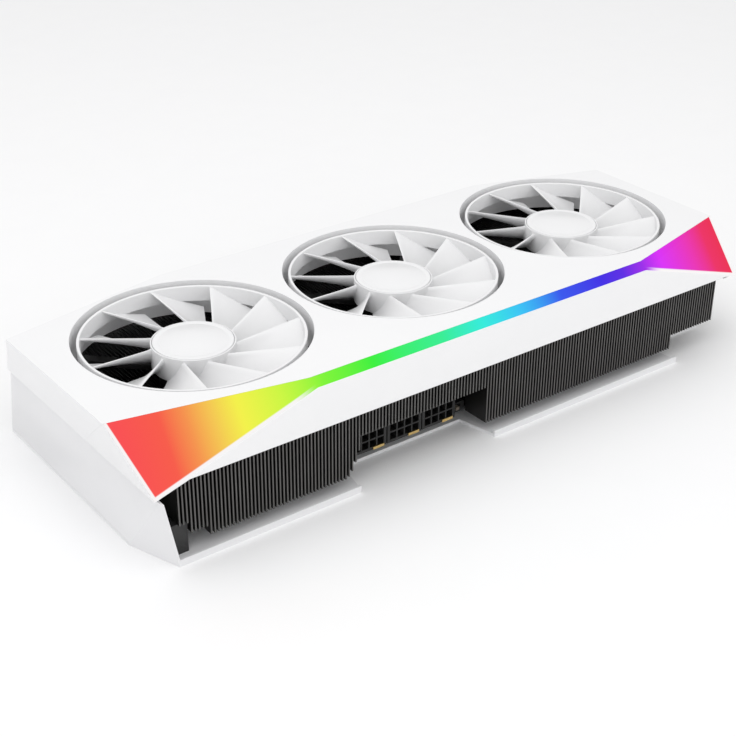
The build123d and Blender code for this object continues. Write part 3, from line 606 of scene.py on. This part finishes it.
# %% Rotor sizes
rotor_low, rotor_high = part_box("fan_rotor_2")
cap_low, cap_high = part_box("fan_cap_2")
shaft_low, shaft_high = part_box("fan_shaft_2")
ring_radius = (rotor_high.x - rotor_low.x) / 2
cap_radius = (cap_high.x - cap_low.x) / 2
shaft_radius = (shaft_high.x - shaft_low.x) / 2
hub_radius = cap_radius + 0.9 * mm
hub_low = cap_high.z - 11.6 * mm
hub_wall = 1.6 * mm
ring_height = 7.5 * mm
ring_wall = 1.3 * mm
blade_count = 11
blade_drop = 10.4 * mm
blade_sweep = 19.0
blade_span = (27.0, 29.0)
blade_camber = 1.0 * mm
blade_thickness = 1.15 * mm
fan_phases = {"fan_1": -1.5, "fan_2": 0.0, "fan_3": -18.0}
print("rim ring radius", round(ring_radius / mm, 1), "mm")

# %% [markdown]
# One blade, one hub cup and one rim are made round the Z axis. They are joined and moved to
# each fan's own axis only at the end, so all three rotors share the same three shapes.

# %% Blade, hub and rim
def blade_section(share, along=12):
    """Points round one section of the blade. share: 0 at the hub, 1 at the rim."""
    root = Vector((hub_radius - 0.5 * mm, 0))
    tip = Vector((cos(radians(blade_sweep)), sin(radians(blade_sweep))))
    nose_place = root.lerp(tip * (ring_radius - 0.6 * mm), share)
    radius, lead = nose_place.length, atan2(nose_place.y, nose_place.x)
    span = radians(blade_span[0] + (blade_span[1] - blade_span[0]) * share)
    low_start = cap_low.z - 0.5 * mm
    z_lead = low_start + (rotor_high.z - 0.5 * mm - low_start) * share
    root_swell = 1 + 0.9 * exp(-(radius - hub_radius) / (1.1 * mm))
    slope = (blade_drop / (radius * span))
    lean = (1 + slope ** 2) ** 0.5
    sides = ([], [])
    for i in range(along + 1):
        s = (1 - cos(pi * i / along)) / 2
        nose = min(1.0, (s / 0.06) ** 0.5)
        half = blade_thickness / 2 * nose * (1 - 0.62 * s ** 1.5) * root_swell
        belly = blade_camber * 4 * s * (1 - s)
        for side, sign in zip(sides, (1, -1)):
            off = sign * half - belly
            angle = lead - span * s - off * slope / lean / radius
            height = z_lead - blade_drop * s + off / lean
            side.append((radius * cos(angle), radius * sin(angle), height))
    return sides[0] + sides[1][-2:0:-1]


def blade_piece(stations=22):
    rings = [blade_section(i / stations) for i in range(stations + 1)]
    count = len(rings[0])
    points = [p for ring in rings for p in ring]
    faces = [tuple(range(count)), tuple(range(stations * count, (stations + 1) * count))]
    for k in range(stations):
        for i in range(count):
            j = (i + 1) % count
            faces.append((k * count + i, k * count + j, (k + 1) * count + j, (k + 1) * count + i))
    return solid("blade", points, faces)


def hub_piece():
    """The cup, with a groove between its rim and the cap."""
    lip = cap_high.z - 0.35 * mm
    seat = cap_low.z
    inner = hub_radius - hub_wall
    corners = [(hub_radius, hub_low), (hub_radius, lip), (cap_radius + 0.3 * mm, lip),
               (cap_radius + 0.3 * mm, seat), (shaft_radius + 0.05 * mm, seat),
               (shaft_radius + 0.05 * mm, seat - hub_wall / 2), (4.0 * mm, seat - hub_wall),
               (inner, seat - hub_wall), (inner, hub_low)]
    return turned("hub", outline_rounded(corners, [0.3 * mm, 0.28 * mm, 0.15 * mm, 0, 0, 0, 0,
                                                   1.0 * mm, 0.3 * mm]))


def rim_piece():
    """The ring round the blade tips, with rounded corners."""
    top, low = rotor_high.z, rotor_high.z - ring_height
    inner = ring_radius - ring_wall
    corners = [(ring_radius, low), (ring_radius, top), (inner, top), (inner, low)]
    return turned("rim", outline_rounded(corners, [0.4 * mm, 0.3 * mm, 0.5 * mm, 0.4 * mm]), 192)


blade = grown(blade_piece(), ring_of_copies, Copies=blade_count, Material=white_fan)
hub, rim = hub_piece(), rim_piece()

# %% [markdown]
# The hub disc is turned from one outline with a fine groove near its edge. The same disc
# serves every fan, and each rotor and disc rides on its own fan's body.

# %% Caps
def cap_piece():
    """A shallow dome with a round edge and one fine turned line."""
    top, low = cap_high.z, cap_low.z
    edge = top - 0.12 * mm
    line = cap_radius * 0.86
    outline = [(0.0, low), (cap_radius, low)]
    outline += rounded((cap_radius, edge), (cap_radius, low), (line, top), 0.45 * mm)
    outline += [(line + 0.25 * mm, top - 0.03 * mm), (line + 0.08 * mm, top - 0.12 * mm),
                (line - 0.08 * mm, top - 0.12 * mm), (line - 0.25 * mm, top - 0.01 * mm),
                (0.0, top)]
    return turned("cap", outline)


cap = cap_piece()
for joint in frame["joints"]:
    if joint["child"] in fan_phases:
        fan = joint["child"]
        number = fan[-1]
        centre = Matrix.Translation((joint["pos_m"][0], 0, 0))
        phase = Matrix.Rotation(radians(fan_phases[fan]), 4, "Z")
        rotor = joined(f"fan_{number}_rotor", [hub, rim, blade], centre @ phase)
        dress(rotor, white_fan, fan, [f"fan_rotor_{number}"], smooth=40)
        lid = joined(f"fan_{number}_cap", [cap], centre @ phase)
        dress(lid, white_fan, fan, [f"fan_cap_{number}"], smooth=40)
for source in (blade, hub, rim, cap):
    bpy.data.objects.remove(source)

# %% [markdown]
# ## The fins
#
# The three fin stacks already have every fin in its true shape, so they stay. What they lack is
# the folded front edge that spaces one fin from the next and shows as a bright line. Each fin's
# front edge is read from the engineering mesh, and the edge tree lays a thin folded bar along it.
# The bars wear a lighter copy of the fin metal, which paints in the highlight of that line.

# %% Fin folds
def fin_fronts(source, slack=0.05 * mm):
    """The front edge of each fin as a low and a high point."""
    form = bmesh.new()
    form.from_mesh(frame["nodes"][source].data)
    bmesh.ops.remove_doubles(form, verts=form.verts, dist=2e-6)
    front = min(v.co.y for v in form.verts)
    spans = {}
    for v in form.verts:
        if v.co.y < front + slack:
            low, high = spans.get(round(v.co.x, 5), (1.0, 0.0))
            spans[round(v.co.x, 5)] = (min(low, v.co.z), max(high, v.co.z))
    form.free()
    sides = sorted(spans)
    edges = []
    for left, right in zip(sides[::2], sides[1::2]):
        low, high = spans[left]
        edges.append((Vector((left, front, low)), Vector((left, front, high))))
    return edges


def fold_bars(source, name, width=0.66 * mm, depth=0.32 * mm):
    points, edges = [], []
    shift = Vector((width / 2, -depth / 2 + 0.12 * mm, 0))
    for low, high in fin_fronts(source):
        edges.append((len(points), len(points) + 1))
        points += [low + shift, high + shift]
    mesh = bpy.data.meshes.new(name)
    mesh.from_pydata([tuple(p) for p in points], edges, [])
    return grown(add(name, mesh), bars_on_edges, Width=width, Depth=depth, Material=fin_edge_painted_highlight)


for stack in ("fins_tail", "fins_middle", "fins_bracket"):
    folds = fold_bars(stack, f"{stack}_folds")
    dress(folds, fin_edge_painted_highlight, "card")

# %% [markdown]
# ## The backplate
#
# The backplate is painted sheet with turned-up front ledges and a closed tail end. It gets
# the same treatment as the shroud, with a tighter radius.

# %% Backplate
backplate = soften(welded_copy("backplate", "backplate_shell"), 0.3)
dress(backplate, plate_paint, "card", ["backplate"])

# %% [markdown]
# ## The bracket
#
# The steel bracket is bent sheet, so its edges get a very small bevel that catches light.

# %% Bracket
bracket = soften(welded_copy("io_bracket", "bracket_plate"), 0.12)
dress(bracket, nickel, "card", ["io_bracket"])

# %% [markdown]
# ## Brass tabs under the power sockets
#
# A small brass tab shows at the lower front edge of each power socket. The three are alike
# and evenly spaced, so one is made and a row tree steps it from socket to socket.

# %% Brass tabs
socket_low, socket_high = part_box("power_connector_1")
socket_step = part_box("power_connector_2")[0] - socket_low
tab_points, tab_faces = bar((socket_high.x - 7.5 * mm, socket_low.y - 0.5 * mm, socket_low.z),
                            (socket_high.x - 1.5 * mm, socket_low.y, socket_low.z + 1.3 * mm))
tabs = solid("power_tabs", tab_points, tab_faces)
grown(tabs, row_of_copies, Copies=3, Step=tuple(socket_step), Material=gold)
dress(tabs, gold, "card")
print("brass tabs", len(tabs.data.polygons), "faces")

# %% [markdown]
# ## The pieces that keep their engineering shape
#
# The pieces deep inside keep the mesh of the engineering model. Each gets the finish of its real
# material here, by name, but for the BIOS slider: it is white moulding, and its dark finish is
# painted shade.

# %% Plain finishes on the pieces that stay
finishes = {
    "fins_tail": fin_coat, "fins_middle": fin_coat, "fins_bracket": fin_coat,
    "heat_pipes": copper, "cold_plate": copper, "base_plate": cast_black,
    "tail_support": cast_black, "circuit_board": board_mask, "led_strip": board_mask,
    "gpu_package": board_mask, "gpu_die": silicon, "memory_chips": chip_resin,
    "memory_pads": pad_putty, "power_stages": chip_resin, "power_stage_pads": pad_putty,
    "chokes": ceramic, "capacitors": ceramic, "power_pins": gold, "edge_contacts": gold,
    "displayport_1": nickel, "displayport_2": nickel, "displayport_3": nickel,
    "hdmi_port": nickel, "bracket_screws": nickel, "spring_screws": black_zinc,
    # The BIOS slider is white moulding; its dark ceramic finish is painted shade for the dark
    # recess round it.
    "bios_switch_case": black_nylon_and_painted_shade, "bios_switch_slider": ceramic,
    "power_connector_1": black_nylon_and_painted_shade, "power_connector_2": black_nylon_and_painted_shade,
    "power_connector_3": black_nylon_and_painted_shade}
for number in (1, 2, 3):
    finishes[f"fan_frame_{number}"] = black_nylon_and_painted_shade
    finishes[f"fan_stator_{number}"] = copper
    finishes[f"fan_bearing_{number}"] = bronze
    finishes[f"fan_shaft_{number}"] = nickel
for name, material in finishes.items():
    part = frame["nodes"][name]
    if not part.material_slots:
        part.data.materials.append(material)
    for place in part.material_slots:
        place.material = material

# %% [markdown]
# ## The studio
#
# A pale floor and soft white light from all round keep the shadows faint. One broad lamp
# above models the facets, a second lights the closed tail end, and a low one in front
# reaches under the fins.

# %% Floor and light
floor_points, floor_faces = bar((-4, -4, -0.02), (4, 4, 0))
floor = solid("floor", floor_points, floor_faces)
paper = surface("paper", (0.97, 0.97, 0.975), (0.95, 0.95, 0.955), (0.8, 0.9), bump=0.002)
floor.data.materials.append(paper)

world = bpy.data.worlds.new("studio")
world.use_nodes = True
sky = world.node_tree.nodes["Background"]
sky.inputs["Color"].default_value = (1.0, 1.0, 1.0, 1)
sky.inputs["Strength"].default_value = 0.825
bpy.context.scene.world = world
bpy.context.scene.view_settings.view_transform = "Standard"


def lamp(name, place, aim, size, power):
    data = bpy.data.lights.new(name, "AREA")
    data.size = size
    data.energy = power
    light = bpy.data.objects.new(name, data)
    light.location = place
    light.rotation_mode = "QUATERNION"
    light.rotation_quaternion = (Vector(aim) - Vector(place)).to_track_quat("-Z", "Y")
    bpy.context.collection.objects.link(light)


lamp("top_lamp", (-0.3, -0.2, 1.1), (0, 0, 0), 0.9, 3.3)
lamp("tail_lamp", (-1.1, 0.5, 0.8), (-0.1, 0, 0), 0.6, 0.5)
lamp("front_lamp", (0.2, -1.1, 0.25), (0, 0, 0.02), 0.8, 1.3)
